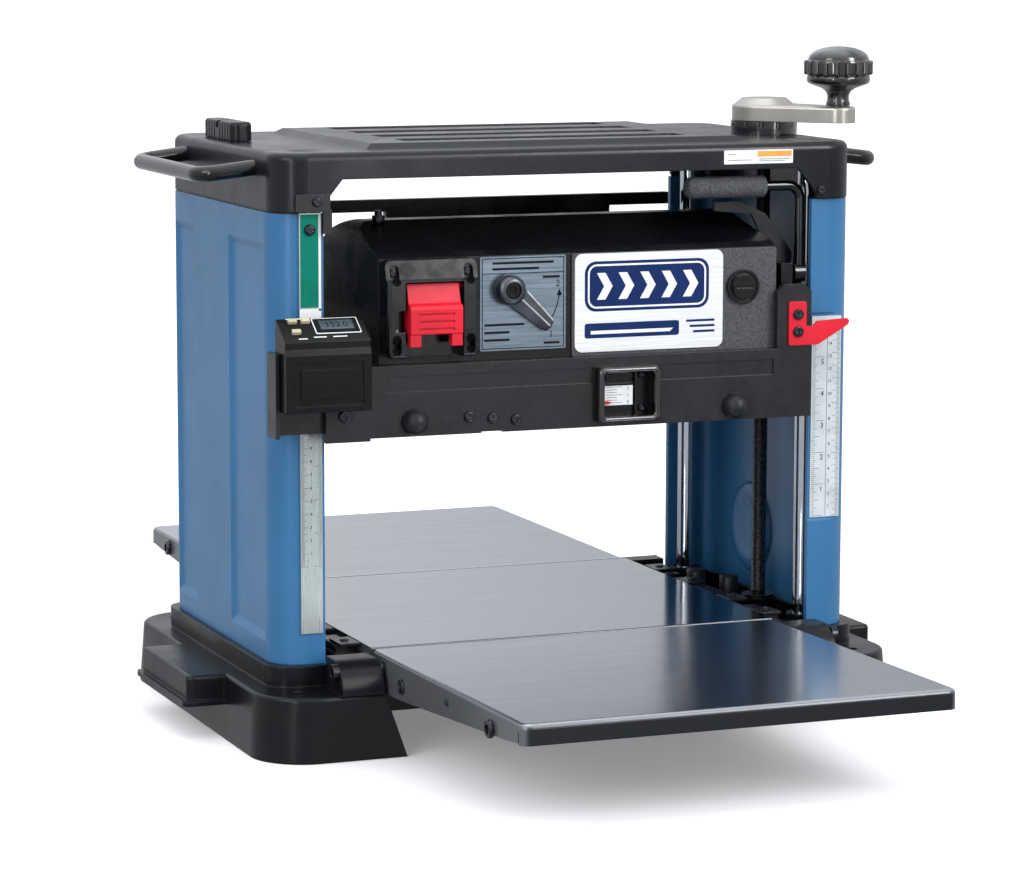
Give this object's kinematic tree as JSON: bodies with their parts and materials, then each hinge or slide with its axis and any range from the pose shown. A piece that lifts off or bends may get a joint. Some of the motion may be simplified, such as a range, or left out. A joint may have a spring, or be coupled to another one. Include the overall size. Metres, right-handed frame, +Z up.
{
  "type": "thickness planer",
  "caption": "Benchtop thickness planer: folding infeed and outfeed tables, a cutterhead carriage on chrome posts, blue side covers, black base and top, and a crank.",
  "frame": {"origin": "on the bench, at the centre of the four bench-bolt holes", "axes": "+Z up, +X to the operator's right, -Y towards the operator at the infeed side"},
  "size_m": [0.592, 0.908, 0.523],
  "materials": {
    "black_casting": "painted satin black",
    "black_foot": "satin black",
    "black_plastic": "moulded satin",
    "black_steel": "fine-textured black",
    "blue_plastic": "moulded, fine grain",
    "brass": "machined",
    "brushed_plate": "brushed",
    "cast_aluminium": "bead-blasted",
    "chrome": "polished",
    "dark_screw": "black oxide",
    "foam": "closed-cell foam",
    "gloss_black": "gloss",
    "key_cream": "moulded",
    "red_plastic": "satin gloss",
    "rubber": "matte",
    "ruler_white": "printed",
    "steel": "turned",
    "table_steel": "polished"
  },
  "bodies": {
    "frame": {"base_casting": "black_casting", "right_foot": "black_foot", "left_foot": "black_foot", "main_table": "table_steel", "table_rails": "black_steel", "guide_posts": "chrome", "right_column_cover": "blue_plastic", "left_column_cover": "blue_plastic", "drive_chain": "dark_screw", "screw_bearings": "brass", "top_plate": "black_steel", "top_cover": "black_plastic", "left_carry_handle": "gloss_black", "right_carry_handle": "gloss_black", "crank_collar": "black_plastic", "left_scale_strip": "steel", "right_ruler": "ruler_white", "strip_bracket": "black_steel", "frame_fasteners": "dark_screw"},
    "crank": {"crank_arm": "cast_aluminium", "right_lead_screw": "steel"},
    "crank_grip": {"crank_knob": "gloss_black"},
    "left_screw": {"left_lead_screw": "steel"},
    "stop_knob": {"depth_stop_knob": "black_plastic"},
    "infeed_table": {"infeed_extension": "table_steel"},
    "outfeed_table": {"outfeed_extension": "table_steel"},
    "carriage": {"head_casting": "black_casting", "post_bushings": "steel", "lead_nuts": "brass", "front_apron": "black_steel", "drive_housing": "black_plastic", "right_cover_plate": "black_steel", "name_plate": "brushed_plate", "brush_cap": "gloss_black", "switch_box": "black_plastic", "speed_plate": "brushed_plate", "gauge_frame": "black_plastic", "apron_bumpers": "rubber", "carriage_screws": "dark_screw", "dro_bracket": "black_steel", "dro_body": "black_plastic", "height_pointer": "red_plastic", "lock_stay_bar": "black_steel", "dust_hood": "black_plastic", "motor_body": "steel", "drive_belt": "rubber", "feed_gearbox": "cast_aluminium"},
    "cutter": {"cutterhead": "steel"},
    "motor": {"motor_armature": "steel"},
    "front_roller": {"infeed_roller": "rubber"},
    "rear_roller": {"outfeed_roller": "rubber"},
    "paddle": {"switch_paddle": "red_plastic"},
    "feed_lever": {"speed_lever": "cast_aluminium"},
    "gauge": {"gauge_pointer": "red_plastic"},
    "lock": {"lock_lever": "gloss_black", "lock_grip": "foam"},
    "pawls": {"kickback_pawls": "steel"},
    "key_front": {"dro_key_front": "key_cream"},
    "key_left": {"dro_key_left": "key_cream"},
    "key_right": {"dro_key_right": "key_cream"}
  },
  "joints": [
    {"name": "crank_turn", "type": "hinge", "parent": "frame", "child": "crank", "pos_m": [0.215, -0.022, 0.46], "axis": [0, 0, 1], "range_deg": [-33840, 0]},
    {"name": "carriage_slide", "type": "slide", "parent": "frame", "child": "carriage", "axis": [0, 0, 1], "range_m": [-0.14922, 0]},
    {"name": "left_screw_turn", "type": "hinge", "parent": "frame", "child": "left_screw", "pos_m": [-0.215, -0.022, 0.46], "axis": [0, 0, 1], "range_deg": [-33840, 0]},
    {"name": "crank_knob_spin", "type": "hinge", "parent": "crank", "child": "crank_grip", "pos_m": [0.25209, -0.08136, 0.5], "axis": [0, 0, 1], "continuous": true},
    {"name": "stop_knob_turn", "type": "hinge", "parent": "frame", "child": "stop_knob", "pos_m": [-0.217, 0.05, 0.455], "axis": [0, 0, 1], "range_deg": [0, 270]},
    {"name": "infeed_table_fold", "type": "hinge", "parent": "frame", "child": "infeed_table", "pos_m": [0, -0.174, 0.065], "axis": [-1, 0, 0], "range_deg": [0, 70]},
    {"name": "outfeed_table_fold", "type": "hinge", "parent": "frame", "child": "outfeed_table", "pos_m": [0, 0.174, 0.065], "axis": [1, 0, 0], "range_deg": [0, 70]},
    {"name": "cutterhead_spin", "type": "hinge", "parent": "carriage", "child": "cutter", "pos_m": [0, -0.005, 0.253], "axis": [1, 0, 0], "continuous": true},
    {"name": "motor_spin", "type": "hinge", "parent": "carriage", "child": "motor", "pos_m": [0, -0.072, 0.332], "axis": [1, 0, 0], "continuous": true},
    {"name": "infeed_roller_spin", "type": "hinge", "parent": "carriage", "child": "front_roller", "pos_m": [0, -0.075, 0.2475], "axis": [1, 0, 0], "continuous": true},
    {"name": "outfeed_roller_spin", "type": "hinge", "parent": "carriage", "child": "rear_roller", "pos_m": [0, 0.065, 0.2475], "axis": [1, 0, 0], "continuous": true},
    {"name": "switch_paddle_tilt", "type": "hinge", "parent": "carriage", "child": "paddle", "pos_m": [-0.126, -0.16, 0.351], "axis": [-1, 0, 0], "range_deg": [0, 18]},
    {"name": "feed_lever_turn", "type": "hinge", "parent": "carriage", "child": "feed_lever", "pos_m": [-0.06, -0.16, 0.3455], "axis": [0, -1, 0], "range_deg": [0, 60]},
    {"name": "gauge_pointer_slide", "type": "slide", "parent": "carriage", "child": "gauge", "axis": [0, 0, 1], "range_m": [0, 0.005]},
    {"name": "lock_lever_swing", "type": "hinge", "parent": "carriage", "child": "lock", "pos_m": [0.196, -0.128, 0.348], "axis": [1, 0, 0], "range_deg": [0, 40]},
    {"name": "pawls_swing", "type": "hinge", "parent": "carriage", "child": "pawls", "pos_m": [0, -0.11, 0.243], "axis": [1, 0, 0], "range_deg": [0, 30]},
    {"name": "key_front_press", "type": "slide", "parent": "carriage", "child": "key_front", "axis": [0, 0.5628, -0.8266], "range_m": [0, 0.0015], "stiffness_N_per_m": 200},
    {"name": "key_left_press", "type": "slide", "parent": "carriage", "child": "key_left", "axis": [0, 0.5628, -0.8266], "range_m": [0, 0.0015], "stiffness_N_per_m": 200},
    {"name": "key_right_press", "type": "slide", "parent": "carriage", "child": "key_right", "axis": [0, 0.5628, -0.8266], "range_m": [0, 0.0015], "stiffness_N_per_m": 200}
  ],
  "couplings": [
    {"joint": "crank_turn", "follows": "carriage_slide", "rad_per_m": 3957.9},
    {"joint": "left_screw_turn", "follows": "carriage_slide", "rad_per_m": 3957.9},
    {"joint": "motor_spin", "follows": "cutterhead_spin", "ratio": 1.4286},
    {"joint": "infeed_roller_spin", "follows": "cutterhead_spin", "ratio": -0.005},
    {"joint": "outfeed_roller_spin", "follows": "cutterhead_spin", "ratio": -0.005}
  ]
}
